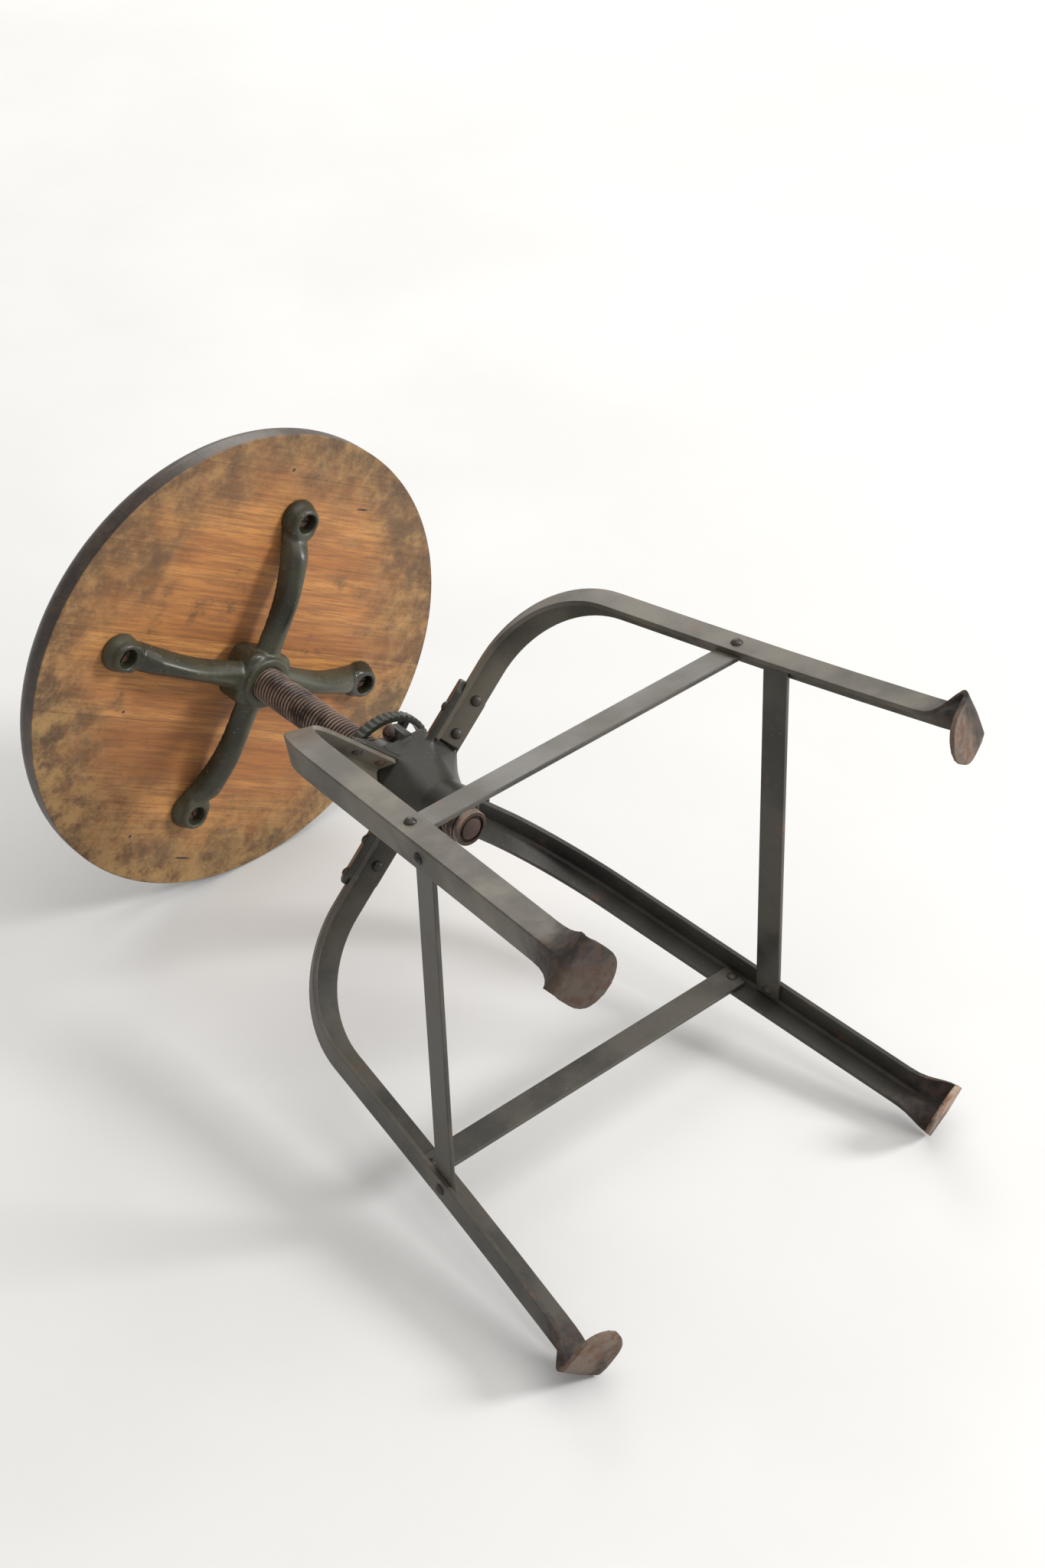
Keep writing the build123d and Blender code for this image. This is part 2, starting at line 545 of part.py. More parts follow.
# ---- assembly ---------------------------------------------------------------------------------------
def build():
    parts = {"hub": hub_solid()}
    for key, az in LEG_AZ.items():
        leg = leg_solid(*FOOT_FORM[key]) - arm_rivet_holes()
        leg = turn(leg, az)
        for name, side_az, z in BRACES:
            for end in (-1, 1):
                if abs((side_az + end * 45.0) % 360.0 - az) < 1e-6:
                    leg = leg - turn(brace_hole(z, end), side_az)
        parts["leg_" + key] = leg
        parts["hub_rivets_" + key] = Compound(children=[turn(r, az) for r in arm_rivets()])
    for name, side_az, z in BRACES:
        parts[name] = turn(brace_local(z), side_az)
        parts[name + "_rivets"] = Compound(children=[turn(r, side_az) for r in brace_rivets(z)])
    parts["lock_ring"] = ring_solid()
    parts["binding_screw"] = binding_screw_solid()
    parts["spindle"] = spindle_solid()
    parts["stop_collar"] = stop_collar_solid()
    parts["spider"] = spider_solid()
    parts["spider_pin"] = spider_pin_rod(PIN_R)
    parts["seat_screws"] = Compound(children=[seat_screw(k) for k in range(4)])
    for k, board in enumerate(seat_boards()):
        parts["seat_board_%d" % (k + 1)] = board
    return parts


os.makedirs("parts", exist_ok=True)
for part_name, part_shape in build().items():
    export_step(part_shape, "parts/" + part_name + ".step")
    box = part_shape.bounding_box()
    print("%-18s solids %d  x %.1f..%.1f  y %.1f..%.1f  z %.1f..%.1f" % (
        part_name, len(part_shape.solids()), box.min.X, box.max.X, box.min.Y, box.max.Y, box.min.Z, box.max.Z))
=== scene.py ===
"""Looks for the adjustable swivel stool, which lies on its side on a pale floor."""
import math

import bpy
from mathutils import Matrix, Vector


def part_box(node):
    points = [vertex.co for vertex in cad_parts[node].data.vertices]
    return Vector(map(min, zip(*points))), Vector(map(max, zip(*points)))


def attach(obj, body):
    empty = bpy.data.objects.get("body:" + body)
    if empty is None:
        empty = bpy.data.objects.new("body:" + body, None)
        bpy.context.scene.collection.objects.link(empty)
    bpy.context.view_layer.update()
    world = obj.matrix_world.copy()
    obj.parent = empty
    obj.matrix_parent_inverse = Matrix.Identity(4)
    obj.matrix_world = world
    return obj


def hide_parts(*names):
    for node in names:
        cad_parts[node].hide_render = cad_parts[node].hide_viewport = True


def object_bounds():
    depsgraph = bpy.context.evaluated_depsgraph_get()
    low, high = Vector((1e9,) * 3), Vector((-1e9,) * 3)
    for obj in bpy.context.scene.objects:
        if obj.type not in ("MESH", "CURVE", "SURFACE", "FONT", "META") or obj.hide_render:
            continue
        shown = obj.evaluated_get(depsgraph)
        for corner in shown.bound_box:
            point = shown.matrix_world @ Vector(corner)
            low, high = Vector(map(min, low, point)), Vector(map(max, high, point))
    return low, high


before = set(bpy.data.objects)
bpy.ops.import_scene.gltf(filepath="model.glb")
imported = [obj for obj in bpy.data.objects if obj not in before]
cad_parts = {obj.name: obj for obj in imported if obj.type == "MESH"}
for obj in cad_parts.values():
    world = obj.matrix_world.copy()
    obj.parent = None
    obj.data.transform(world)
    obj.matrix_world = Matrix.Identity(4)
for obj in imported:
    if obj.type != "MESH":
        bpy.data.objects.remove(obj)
cad_lo, cad_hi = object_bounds()

MM = 0.001

# camera
CAMERA_AT = (-0.985847, -1.270856, -0.952282)
CAMERA_TURN = (143.671, 40.803, 2.2554)
CAMERA_LENS = 70.1
CAMERA_SENSOR = 36.0
CAMERA_CLIP = (0.05, 50.0)

# seat
SEAT_UNDER_Z = 0.5566
SEAT_R = 0.1778
GRAIN_AZ = math.radians(31.0)
SEAM_OFFSETS = [-0.146, -0.081, -0.016, 0.049, 0.114]
# small dark marks on the underside: x, y, length, width, direction in degrees
NAIL_MARKS = [
    (0.0613, -0.1379, 0.0032, 0.0028, 0),
    (-0.1100, 0.0980, 0.0030, 0.0026, 0),
    (-0.1015, -0.0093, 0.0026, 0.0024, 0),
    (0.1177, -0.0799, 0.0120, 0.0017, 28),
    (-0.0690, 0.1407, 0.0155, 0.0018, 30),
]
BOARD_TINTS = [0.94, 1.05, 0.98, 1.03, 0.92, 1.0]

BOARD_SHIFT = 0.37             # moves the grain pattern from board to board
SEAM_HALF, SEAM_CORE = 0.35 * MM, 0.10 * MM
SIDE_FROM, SIDE_TO = 0.05 * MM, 0.9 * MM     # above the underside, where the rim's colour takes over
TOP_FROM, TOP_TO = 20 * MM, 25 * MM
GRIME_FROM_R, GRIME_TO_R = 0.085, 0.182

# seat colours, linear: dark and light of each layer
WARM_WOOD = (0.385, 0.145, 0.038), (0.585, 0.265, 0.078)
GOLDEN_WEAR = (0.160, 0.090, 0.032), (0.330, 0.205, 0.078)
GRIME = (0.060, 0.038, 0.020), (0.240, 0.142, 0.060)
RIM_WOOD = (0.022, 0.0135, 0.0085), (0.062, 0.038, 0.024)
TOP_WOOD = (0.085, 0.042, 0.022), (0.175, 0.088, 0.043)
GRAIN_LINE, PORE, STAIN = (0.215, 0.086, 0.034), (0.085, 0.036, 0.018), (0.070, 0.041, 0.024)
DARK_MARK, SEAM_DIRT, TOP_GRAIN = (0.012, 0.008, 0.006), (0.022, 0.014, 0.010), (0.040, 0.020, 0.012)

# paints: dark, light, worn colour, and the noise level where rust starts
PAINTS = {
    "brace_paint": ((0.026, 0.0228, 0.017), (0.063, 0.0555, 0.042), (0.145, 0.106, 0.072), 0.60),
    "hub_paint": ((0.011, 0.0105, 0.0075), (0.030, 0.028, 0.020), (0.125, 0.105, 0.075), 0.62),
    "rivet_paint": ((0.014, 0.012, 0.0095), (0.038, 0.031, 0.024), (0.105, 0.072, 0.050), 0.52),
    "ring_paint": ((0.016, 0.0165, 0.012), (0.046, 0.047, 0.036), (0.150, 0.135, 0.105), 0.58),
    "spider_paint": ((0.016, 0.0155, 0.008), (0.050, 0.048, 0.027), (0.240, 0.220, 0.165), 0.66),
}
LEG_PAINT = (0.018, 0.0158, 0.0118), (0.047, 0.0410, 0.0310), (0.135, 0.098, 0.066), 0.60
NODE_LOOKS = {"hub": "hub_paint", "lock_ring": "ring_paint", "spider": "spider_paint",
              "spindle": "spindle_rust", "stop_collar": "spindle_rust"}
EDGE_WEAR_R = 0.9 * MM
RUST = (0.075, 0.030, 0.014), (0.20, 0.082, 0.035)

# feet: heights where the burnt band and the bare tip start and end
BURNT_FROM, BURNT_TO = 0.052, 0.026
TIP_FROM, TIP_TO = 0.011, 0.001
FOOT_RAGGED = 0.045
SCORCHED = (0.013, 0.0095, 0.0075), (0.050, 0.028, 0.017)
BARE_TIP = (0.185, 0.135, 0.100), (0.150, 0.060, 0.026)

# how light each leg's paint and each foot's bare metal are beside the others, fitted to the brightness each
# piece showed; the leg tints paint light and shade into the legs' colour (a painted sheen on legs F and T,
# painted shade on leg R) along with any real difference in the paint
LEG_PAINT_AND_LIGHT_TINTS = {"leg_f": 3.0, "leg_t": 2.4, "leg_r": 0.75, "leg_b": 1.4}
FOOT_TINTS = {"leg_f": 0.36, "leg_t": 0.71, "leg_r": 1.7, "leg_b": 0.76}

# castings: voxel size and smoothing passes
SPIDER_VOXEL, SPIDER_SMOOTH = 0.9 * MM, 12
HUB_VOXEL, HUB_SMOOTH = 0.7 * MM, 16
RING_VOXEL, RING_SMOOTH = 0.5 * MM, 3

# spider arms: a waist, a deeper middle, and domed end bosses
ARM_AZ = math.radians(31.2)
ARM_HOLE_R = 115.9 * MM
BORE_R = 7.2 * MM
BOSS_R = 14.4 * MM
DOME_DEPTH = 9.0 * MM          # below the seat, where the dome has drawn in fully
DOME_DRAW = 0.42               # share of the boss wall's thickness it has lost there
WAIST_AT, WAIST_SPAN, WAIST_DRAW = 62 * MM, 46 * MM, 0.22
ARM_DEPTH, ARM_DEEPER = 11.0 * MM, 6.3 * MM
ARM_ARCH = [(8 * MM, 17.6 * MM), (58 * MM, 14.1 * MM), (106 * MM, 0.2 * MM)]   # radius, depth below the seat

# spindle thread
PITCH = 3.175 * MM
THREAD_R = 12.7 * MM
THREAD_DEPTH = 1.7 * MM
THREAD_AROUND = 64
THREAD_PER_PITCH = 10
CREST_FLAT = 1.45              # over 1 flattens the crest
CREST_RUB = 0.5 * MM           # the outermost part of the thread, rubbed bright
TENON_R, TENON_CHAMFER = 8.0 * MM, 0.5 * MM
THREAD_START, THREAD_RUN_IN = 1 * MM, 4 * MM    # above the stop collar, and into the spider

# stage: half the floor's side, the gap under the stool, and the rim's height above the underside
FLOOR_SIDE = 9.0
FLOOR_GAP = 0.2 * MM
RIM_TOUCH = 9 * MM
FLOOR_WHITE = (0.700, 0.696, 0.686), (0.740, 0.736, 0.727)

# lamps: name, place, diameter, power, colour
LAMP_AIM = (0, 0, 0.30)
LAMPS = [
    ("key", (0.8, -3.4, -0.3), 4.5, 72.0, (1.0, 0.99, 0.97)),
    ("front", (2.2, -1.4, -1.8), 0.9, 84.0, (1, 1, 1)),
    ("sheen", (1.5, -1.4, 2.5), 1.6, 23.0, (1.0, 0.965, 0.91)),
]
WORLD_COLOUR, WORLD_STRENGTH = (1.0, 0.995, 0.985, 1.0), 0.52


# ---- node helpers

class Nodes:
    """Short forms for building one material's node tree."""

    def __init__(self, name):
        self.material = bpy.data.materials.new(name)
        self.material.use_nodes = True
        self.tree = self.material.node_tree
        self.shader = self.tree.nodes["Principled BSDF"]
        self.output = self.tree.nodes["Material Output"]
        coordinates = self.tree.nodes.new("ShaderNodeTexCoord")
        self.place = coordinates.outputs["Object"]

    def put(self, value, socket):
        if isinstance(value, bpy.types.NodeSocket):
            self.tree.links.new(value, socket)
        elif hasattr(value, "__len__") and len(value) == 3 and len(socket.default_value) == 4:
            socket.default_value = (*value, 1.0)
        else:
            socket.default_value = value

    def math(self, operation, a, b=0.0, clamp=False):
        node = self.tree.nodes.new("ShaderNodeMath")
        node.operation, node.use_clamp = operation, clamp
        self.put(a, node.inputs[0])
        self.put(b, node.inputs[1])
        return node.outputs[0]

    def ramp(self, value, low, high, start=0.0, end=1.0):
        node = self.tree.nodes.new("ShaderNodeMapRange")
        node.interpolation_type = "SMOOTHSTEP"
        for number, v in enumerate((value, low, high, start, end)):
            self.put(v, node.inputs[number])
        return node.outputs[0]

    def mix(self, factor, a, b):
        node = self.tree.nodes.new("ShaderNodeMix")
        node.data_type = "RGBA"
        self.put(factor, node.inputs[0])
        self.put(a, node.inputs[6])
        self.put(b, node.inputs[7])
        return node.outputs[2]

    def turned(self, angle=0.0, scale=(1, 1, 1), shift=(0, 0, 0)):
        """Object coordinates turned about Z by -angle, then stretched."""
        turn = self.tree.nodes.new("ShaderNodeMapping")
        self.put(self.place, turn.inputs[0])
        turn.inputs["Location"].default_value = shift
        turn.inputs["Rotation"].default_value = (0, 0, -angle)
        stretch = self.tree.nodes.new("ShaderNodeVectorMath")
        stretch.operation = "MULTIPLY"
        self.put(turn.outputs[0], stretch.inputs[0])
        stretch.inputs[1].default_value = scale
        return stretch.outputs[0]

    def noise(self, scale, detail=4.0, rough=0.55, at=None):
        node = self.tree.nodes.new("ShaderNodeTexNoise")
        self.put(at or self.place, node.inputs["Vector"])
        node.inputs["Scale"].default_value = scale
        node.inputs["Detail"].default_value = detail
        node.inputs["Roughness"].default_value = rough
        return node.outputs["Fac"]

    def split(self, vector):
        node = self.tree.nodes.new("ShaderNodeSeparateXYZ")
        self.put(vector, node.inputs[0])
        return node.outputs

    def radius(self):
        x, y, z = self.split(self.place)
        squares = self.math("ADD", self.math("MULTIPLY", x, x), self.math("MULTIPLY", y, y))
        return self.math("SQRT", squares)

    def edge(self, radius):
        """1 on outside and inside edges, 0 on faces."""
        bevel = self.tree.nodes.new("ShaderNodeBevel")
        bevel.samples = 6
        bevel.inputs["Radius"].default_value = radius
        geometry = self.tree.nodes.new("ShaderNodeNewGeometry")
        dot = self.tree.nodes.new("ShaderNodeVectorMath")
        dot.operation = "DOT_PRODUCT"
        self.put(bevel.outputs[0], dot.inputs[0])
        self.put(geometry.outputs["Normal"], dot.inputs[1])
        return self.ramp(dot.outputs["Value"], 0.985, 0.80), bevel.outputs[0]

    def finish(self, colour, roughness, height, strength, distance, normal=None, specular=0.5):
        bump = self.tree.nodes.new("ShaderNodeBump")
        bump.inputs["Strength"].default_value = strength
        bump.inputs["Distance"].default_value = distance
        self.put(height, bump.inputs["Height"])
        if normal is not None:
            self.put(normal, bump.inputs["Normal"])
        self.put(colour, self.shader.inputs["Base Color"])
        self.put(roughness, self.shader.inputs["Roughness"])
        self.put(bump.outputs[0], self.shader.inputs["Normal"])
        self.shader.inputs["Specular IOR Level"].default_value = specular
        return self.material


# ---- materials

def tinted(colours, tint):
    """Each colour multiplied by one number."""
    return [[v * tint for v in colour] for colour in colours]


def worn_paint(name, dark, light, wear, rust_share, foot=None):
    """Old brushed paint, rubbed through on edges and touched by rust; foot tints a leg's bare tip."""
    n = Nodes(name)
    edge, soft_normal = n.edge(EDGE_WEAR_R)
    clouds = n.noise(16.0, 5.0)
    specks = n.noise(420.0, 3.0, 0.6)
    chips = n.noise(150.0, 5.0, 0.65)
    rusting = n.noise(38.0, 6.0, 0.62)
    colour = n.mix(n.ramp(clouds, 0.37, 0.62), dark, light)
    colour = n.mix(n.ramp(specks, 0.60, 0.74, 0.0, 0.35), colour, wear)
    rusty = n.mix(n.ramp(specks, 0.35, 0.65), *RUST)
    colour = n.mix(n.ramp(rusting, rust_share, rust_share + 0.16, 0.0, 0.55), colour, rusty)
    rubbed = n.math("MULTIPLY", edge, n.ramp(chips, 0.36, 0.62), clamp=True)
    colour = n.mix(n.math("MULTIPLY", rubbed, 0.75), colour, wear)
    roughness = n.ramp(clouds, 0.35, 0.65, 0.28, 0.48)
    if foot is not None:
        height = n.split(n.place)[2]
        ragged = n.math("ADD", height, n.math("MULTIPLY", n.math("SUBTRACT", rusting, 0.5), FOOT_RAGGED))
        burnt = n.ramp(ragged, BURNT_FROM, BURNT_TO)
        tip = n.ramp(ragged, TIP_FROM, TIP_TO)
        scorched = n.mix(n.ramp(chips, 0.4, 0.62), *SCORCHED)
        bare = n.mix(n.ramp(chips, 0.42, 0.66), *tinted(BARE_TIP, foot))
        colour = n.mix(burnt, colour, scorched)
        colour = n.mix(tip, colour, bare)
        roughness = n.ramp(burnt, 0.0, 1.0, 0.47, 0.66)
    bumps = n.math("ADD", n.math("MULTIPLY", chips, 0.6), n.math("MULTIPLY", specks, 0.4))
    return n.finish(colour, roughness, bumps, 0.30, 0.35 * MM, soft_normal)


def rusted_steel(name, dark, bright, crest=None):
    """Brown rusted steel; crest is the colour where a thread is rubbed."""
    n = Nodes(name)
    fine = n.noise(620.0, 4.0, 0.65)
    patches = n.noise(55.0, 6.0, 0.6)
    colour = n.mix(n.ramp(patches, 0.34, 0.68), dark, bright)
    colour = n.mix(n.ramp(fine, 0.55, 0.75, 0.0, 0.6), colour, (0.30, 0.13, 0.055))
    if crest is not None:
        rubbed = n.ramp(n.radius(), THREAD_R - CREST_RUB, THREAD_R, 0.0, 0.85)
        colour = n.mix(n.math("MULTIPLY", rubbed, n.ramp(patches, 0.35, 0.6)), colour, crest)
    roughness = n.ramp(patches, 0.3, 0.7, 0.42, 0.68)
    return n.finish(colour, roughness, fine, 0.35, 0.25 * MM)


def mark_mask(n, x, y, length, width, turn):
    """1 inside a small oval mark on the seat's underside."""
    along = n.tree.nodes.new("ShaderNodeMapping")
    along.vector_type = "TEXTURE"
    n.put(n.place, along.inputs[0])
    along.inputs["Location"].default_value = (x, y, SEAT_UNDER_Z)
    along.inputs["Rotation"].default_value = (0, 0, math.radians(turn))
    along.inputs["Scale"].default_value = (length / 2, width / 2, 1.0)
    distance = n.tree.nodes.new("ShaderNodeVectorMath")
    distance.operation = "LENGTH"
    n.put(along.outputs[0], distance.inputs[0])
    return n.ramp(distance.outputs["Value"], 1.15, 0.7)


def seat_wood(name, tint, shift):
    """Varnished board: orange-brown below, grimy towards the rim, grey-brown at the rim and on top."""
    n = Nodes(name)
    x, y, z = n.split(n.place)
    radius = n.radius()
    across = n.split(n.turned(GRAIN_AZ))[1]
    grain = n.noise(1.0, 5.0, 0.6, n.turned(GRAIN_AZ, (26, 520, 60), (shift, 0, 0)))
    pores = n.noise(1.0, 3.0, 0.7, n.turned(GRAIN_AZ, (120, 2100, 400), (shift, 0, 0)))
    bands = n.noise(1.0, 4.0, 0.5, n.turned(GRAIN_AZ, (5, 42, 10), (shift, shift, 0)))
    blotches = n.noise(19.0, 7.0, 0.66)
    mottle = n.noise(58.0, 9.0, 0.74)

    warm = n.mix(n.ramp(bands, 0.3, 0.7), *tinted(WARM_WOOD, tint))
    warm = n.mix(n.ramp(grain, 0.38, 0.62, 0.0, 0.62), warm, GRAIN_LINE)
    warm = n.mix(n.ramp(pores, 0.61, 0.70, 0.0, 0.75), warm, PORE)

    ragged = n.math("ADD", radius, n.math("MULTIPLY", n.math("SUBTRACT", blotches, 0.5), 0.15))
    near_rim = n.ramp(ragged, GRIME_FROM_R, GRIME_TO_R)
    golden = n.mix(n.ramp(mottle, 0.36, 0.66), *GOLDEN_WEAR)
    grime = n.mix(n.ramp(mottle, 0.36, 0.66), *GRIME)
    toward = n.math("ADD", n.math("MULTIPLY", y, 3.2), n.math("MULTIPLY", x, -1.6))
    gold_share = n.math("ADD", mottle, n.math("MULTIPLY", toward, 0.16))
    worn = n.mix(n.ramp(gold_share, 0.44, 0.66), grime, golden)
    under = n.mix(n.math("MULTIPLY", near_rim, 0.90), warm, worn)
    stains = n.math("MULTIPLY", n.ramp(blotches, 0.53, 0.68), n.ramp(mottle, 0.40, 0.58))
    under = n.mix(n.math("MULTIPLY", stains, 0.78), under, STAIN)

    marks = 0.0
    for mark in NAIL_MARKS:
        marks = n.math("MAXIMUM", marks, mark_mask(n, *mark))
    under = n.mix(n.math("MULTIPLY", marks, 0.9), under, DARK_MARK)

    rim = n.mix(n.ramp(mottle, 0.38, 0.66), *RIM_WOOD)
    rim = n.mix(n.ramp(grain, 0.5, 0.7, 0.0, 0.35), rim, DARK_MARK)
    top = n.mix(n.ramp(bands, 0.3, 0.7), *TOP_WOOD)
    top = n.mix(n.ramp(grain, 0.45, 0.7, 0.0, 0.5), top, TOP_GRAIN)
    top = n.mix(n.ramp(radius, 0.150, 0.172), top, rim)
    is_side = n.ramp(z, SEAT_UNDER_Z + SIDE_FROM, SEAT_UNDER_Z + SIDE_TO)
    is_top = n.ramp(z, SEAT_UNDER_Z + TOP_FROM, SEAT_UNDER_Z + TOP_TO)
    colour = n.mix(is_side, under, n.mix(is_top, rim, top))

    seams = 0.0
    for offset in SEAM_OFFSETS:
        gap = n.math("ABSOLUTE", n.math("SUBTRACT", across, offset))
        seams = n.math("MAXIMUM", seams, n.ramp(gap, SEAM_HALF, SEAM_CORE))
    colour = n.mix(n.math("MULTIPLY", seams, 0.45), colour, SEAM_DIRT)

    roughness = n.ramp(is_side, 0.0, 1.0, 0.58, 0.40)
    pits = n.math("MULTIPLY", n.ramp(pores, 0.6, 0.7), 0.5)
    relief = n.math("SUBTRACT", n.math("MULTIPLY", grain, 0.6), pits)
    relief = n.math("SUBTRACT", relief, n.math("MULTIPLY", n.math("MAXIMUM", marks, seams), 0.8))
    return n.finish(colour, roughness, relief, 0.28, 0.3 * MM)


def floor_paint():
    """Matt white floor, seen from the object's side only."""
    n = Nodes("stage_floor")
    colour = n.mix(n.ramp(n.noise(2.4, 5.0), 0.35, 0.65), *FLOOR_WHITE)
    material = n.finish(colour, 0.75, n.noise(30.0, 4.0), 0.05, 0.4 * MM, specular=0.15)
    geometry = n.tree.nodes.new("ShaderNodeNewGeometry")
    clear = n.tree.nodes.new("ShaderNodeBsdfTransparent")
    choose = n.tree.nodes.new("ShaderNodeMixShader")
    n.put(geometry.outputs["Backfacing"], choose.inputs[0])
    n.put(n.shader.outputs[0], choose.inputs[1])
    n.put(clear.outputs[0], choose.inputs[2])
    n.put(choose.outputs[0], n.output.inputs["Surface"])
    return material


# ---- pieces

def mesh_object(name, points, faces):
    mesh = bpy.data.meshes.new(name)
    mesh.from_pydata(points, [], faces)
    mesh.validate()
    thing = bpy.data.objects.new(name, mesh)
    bpy.context.scene.collection.objects.link(thing)
    for polygon in mesh.polygons:
        polygon.use_smooth = True
    return thing


def baked(thing):
    """The object's mesh with its modifiers applied, and the modifiers taken off."""
    graph = bpy.context.evaluated_depsgraph_get()
    mesh = bpy.data.meshes.new_from_object(thing.evaluated_get(graph))
    thing.modifiers.clear()
    return mesh


def softened(node, name, body, voxel, passes, reshape=None):
    """A copy of a CAD casting with its edges and corners softened as sand casting leaves them."""
    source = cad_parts[node]
    thing = bpy.data.objects.new(name, source.data.copy())
    bpy.context.scene.collection.objects.link(thing)
    remesh = thing.modifiers.new("remesh", "REMESH")
    remesh.mode, remesh.voxel_size = "VOXEL", voxel
    thing.data = baked(thing)
    if reshape is not None:
        for vertex in thing.data.vertices:
            vertex.co = reshape(vertex.co)
    smooth = thing.modifiers.new("smooth", "SMOOTH")
    smooth.factor, smooth.iterations = 0.5, passes
    mesh = thing.data = baked(thing)
    for polygon in mesh.polygons:
        polygon.use_smooth = True
    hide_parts(node)
    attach(thing, body)
    return thing


def smoothstep(low, high, value):
    share = min(1.0, max(0.0, (value - low) / (high - low)))
    return share * share * (3 - 2 * share)


def arch_depth(along):
    """Depth of an arm's upper face below the seat: the parabola through ARM_ARCH."""
    depth = 0.0
    for here, value in ARM_ARCH:
        for other, _ in ARM_ARCH:
            if other != here:
                value *= (along - other) / (here - other)
        depth += value
    return depth


def cast_arm(place):
    """Where a point of the plain CAD spider lies on the waisted arms and domed bosses."""
    quarter = math.pi / 2
    az = round((math.atan2(place.y, place.x) - ARM_AZ) / quarter) * quarter + ARM_AZ
    along = place.x * math.cos(az) + place.y * math.sin(az)
    across = place.y * math.cos(az) - place.x * math.sin(az)
    depth = SEAT_UNDER_Z - place.z

    reach = math.hypot(along - ARM_HOLE_R, across)
    on_arm = smoothstep(BOSS_R, BOSS_R + 6 * MM, reach)
    if BORE_R < reach < BOSS_R + 1 * MM:
        outward = smoothstep(-0.75, -0.25, (along - ARM_HOLE_R) / reach)
        draw = DOME_DRAW * min(1.0, max(0.0, depth / DOME_DEPTH)) ** 2 * outward
        scale = (BORE_R + (reach - BORE_R) * (1 - draw)) / reach
        along, across = ARM_HOLE_R + (along - ARM_HOLE_R) * scale, across * scale
    if abs(along - WAIST_AT) < WAIST_SPAN:
        bend = math.cos(quarter * (along - WAIST_AT) / WAIST_SPAN) ** 2
        across *= 1 - WAIST_DRAW * bend * on_arm
    deeper = smoothstep(20 * MM, 70 * MM, along) * (1 - smoothstep(92 * MM, 108 * MM, along))
    share = min(1.0, max(0.0, (depth - arch_depth(along)) / ARM_DEPTH))
    depth += ARM_DEEPER * deeper * share
    return Vector((along * math.cos(az) - across * math.sin(az),
                   along * math.sin(az) + across * math.cos(az), SEAT_UNDER_Z - depth))


def thread_radius(phase):
    """Radius at a place in one pitch: rounded root, flank, flat crest, flank."""
    crest = 0.5 - 0.5 * math.cos(2 * math.pi * phase)
    return THREAD_R - THREAD_DEPTH * (1 - min(1.0, crest * CREST_FLAT))


def threaded_spindle():
    """The spindle with a true right-hand helical thread between two plain ends."""
    lo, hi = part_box("spindle")
    collar_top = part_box("stop_collar")[1][2]
    thread_lo, thread_hi = collar_top + THREAD_START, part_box("spider")[0][2] + THREAD_RUN_IN
    plain_r = THREAD_R - THREAD_DEPTH
    heights = [lo[2], lo[2] + TENON_CHAMFER, collar_top]
    radii = [TENON_R - TENON_CHAMFER, TENON_R, TENON_R]
    rows = int((thread_hi - thread_lo) / PITCH * THREAD_PER_PITCH)
    rings = [[(r * math.cos(a), r * math.sin(a), z) for a in angles()] for z, r in zip(heights, radii)]
    for row in range(rows + 1):
        z = thread_lo + (thread_hi - thread_lo) * row / rows
        fade = min(1.0, row / THREAD_PER_PITCH, (rows - row) / THREAD_PER_PITCH)
        ring = []
        for a in angles():
            r = plain_r + (thread_radius((z / PITCH - a / (2 * math.pi)) % 1.0) - plain_r) * fade
            ring.append((r * math.cos(a), r * math.sin(a), z))
        rings.append(ring)
    rings.append([(plain_r * math.cos(a), plain_r * math.sin(a), hi[2]) for a in angles()])
    points = [p for ring in rings for p in ring]
    faces = []
    for r in range(len(rings) - 1):
        for c in range(THREAD_AROUND):
            d = (c + 1) % THREAD_AROUND
            faces.append((r * THREAD_AROUND + c, r * THREAD_AROUND + d,
                          (r + 1) * THREAD_AROUND + d, (r + 1) * THREAD_AROUND + c))
    faces.append(tuple(reversed(range(THREAD_AROUND))))
    last = (len(rings) - 1) * THREAD_AROUND
    faces.append(tuple(last + c for c in range(THREAD_AROUND)))
    spindle = mesh_object("spindle_threaded", points, faces)
    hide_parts("spindle")
    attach(spindle, "seat")
    return spindle


def angles():
    return [2 * math.pi * c / THREAD_AROUND for c in range(THREAD_AROUND)]


# ---- dressing

def dress(thing, material):
    thing.data.materials.clear()
    thing.data.materials.append(material)


def leg_paint(name):
    dark, light, wear, rust_share = LEG_PAINT
    # the leg's tint scales its whole paint, painting that leg's sheen or shade into its colour along with
    # its own paint tone
    return worn_paint(name + "_paint", *tinted((dark, light), LEG_PAINT_AND_LIGHT_TINTS[name]), wear, rust_share,
                      FOOT_TINTS[name])


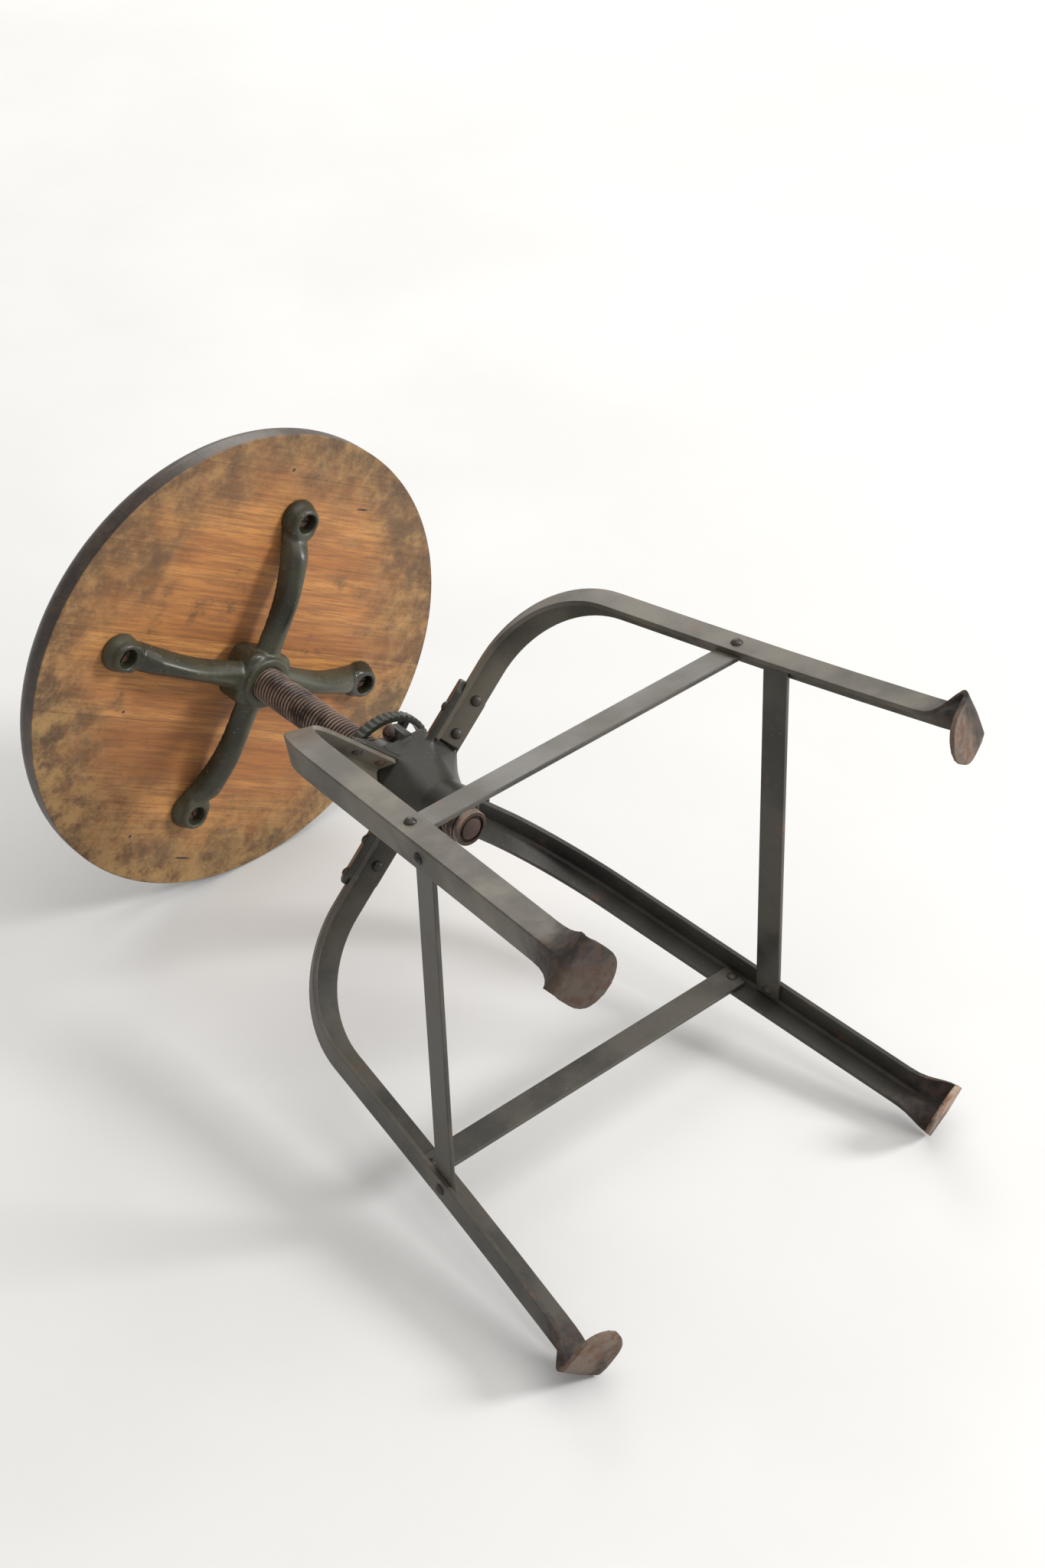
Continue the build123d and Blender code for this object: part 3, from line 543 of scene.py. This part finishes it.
def dress_all():
    looks = {name: worn_paint(name, *row) for name, row in PAINTS.items()}
    looks["screw_rust"] = rusted_steel("screw_rust", (0.030, 0.015, 0.010), (0.085, 0.038, 0.021))
    looks["spindle_rust"] = rusted_steel("spindle_rust", (0.017, 0.0095, 0.0065), (0.062, 0.028, 0.016),
                                         (0.260, 0.190, 0.145))
    for name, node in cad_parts.items():
        if name.startswith("seat_board_"):
            number = int(name.rsplit("_", 1)[1]) - 1
            dress(node, seat_wood(f"wood_{number + 1}", BOARD_TINTS[number], BOARD_SHIFT * number))
        elif "rivets" in name:
            dress(node, looks["rivet_paint"])
        elif name.startswith("leg_"):
            dress(node, leg_paint(name))
        elif name.startswith("brace_"):
            dress(node, looks["brace_paint"])
        else:
            dress(node, looks[NODE_LOOKS.get(name, "screw_rust")])
    dress(threaded_spindle(), looks["spindle_rust"])
    dress(softened("spider", "spider_casting", "seat", SPIDER_VOXEL, SPIDER_SMOOTH,
                   cast_arm), looks["spider_paint"])
    dress(softened("hub", "hub_casting", "base", HUB_VOXEL, HUB_SMOOTH),
          looks["hub_paint"])
    dress(softened("lock_ring", "ring_casting", "ring", RING_VOXEL, RING_SMOOTH),
          looks["ring_paint"])


# ---- stage

def make_stage():
    """Floor that the seat's rim and two feet lie on. It leans a little, from the feet to the seat."""
    at_feet, at_seat = cad_hi.y + FLOOR_GAP, SEAT_R + FLOOR_GAP
    lean = (at_seat - at_feet) / (SEAT_UNDER_Z + RIM_TOUCH)
    side = FLOOR_SIDE
    corners = [(-side, -side), (side, -side), (side, side), (-side, side)]
    points = [(x, at_feet + lean * z, z) for x, z in corners]
    floor = mesh_object("stage_floor", points, [(0, 1, 2, 3)])
    dress(floor, floor_paint())


def area_light(name, at, size, power, colour):
    data = bpy.data.lights.new(name, "AREA")
    data.shape, data.size, data.energy, data.color = "DISK", size, power, colour
    lamp = bpy.data.objects.new(name, data)
    lamp.location = at
    lamp.rotation_euler = (Vector(LAMP_AIM) - Vector(at)).to_track_quat("-Z", "Y").to_euler()
    bpy.context.scene.collection.objects.link(lamp)


def make_light():
    world = bpy.data.worlds.new("studio")
    world.use_nodes = True
    world.node_tree.nodes["Background"].inputs[0].default_value = WORLD_COLOUR
    world.node_tree.nodes["Background"].inputs[1].default_value = WORLD_STRENGTH
    bpy.context.scene.world = world
    for lamp in LAMPS:
        area_light(*lamp)
    bpy.context.scene.view_settings.view_transform = "Standard"


def make_camera():
    data = bpy.data.cameras.new("camera")
    data.lens, data.sensor_width, data.sensor_fit = CAMERA_LENS, CAMERA_SENSOR, "AUTO"
    data.clip_start, data.clip_end = CAMERA_CLIP
    camera = bpy.data.objects.new("camera", data)
    camera.location = CAMERA_AT
    camera.rotation_euler = [math.radians(a) for a in CAMERA_TURN]
    bpy.context.scene.collection.objects.link(camera)
    bpy.context.scene.camera = camera


dress_all()
make_stage()
make_light()
make_camera()
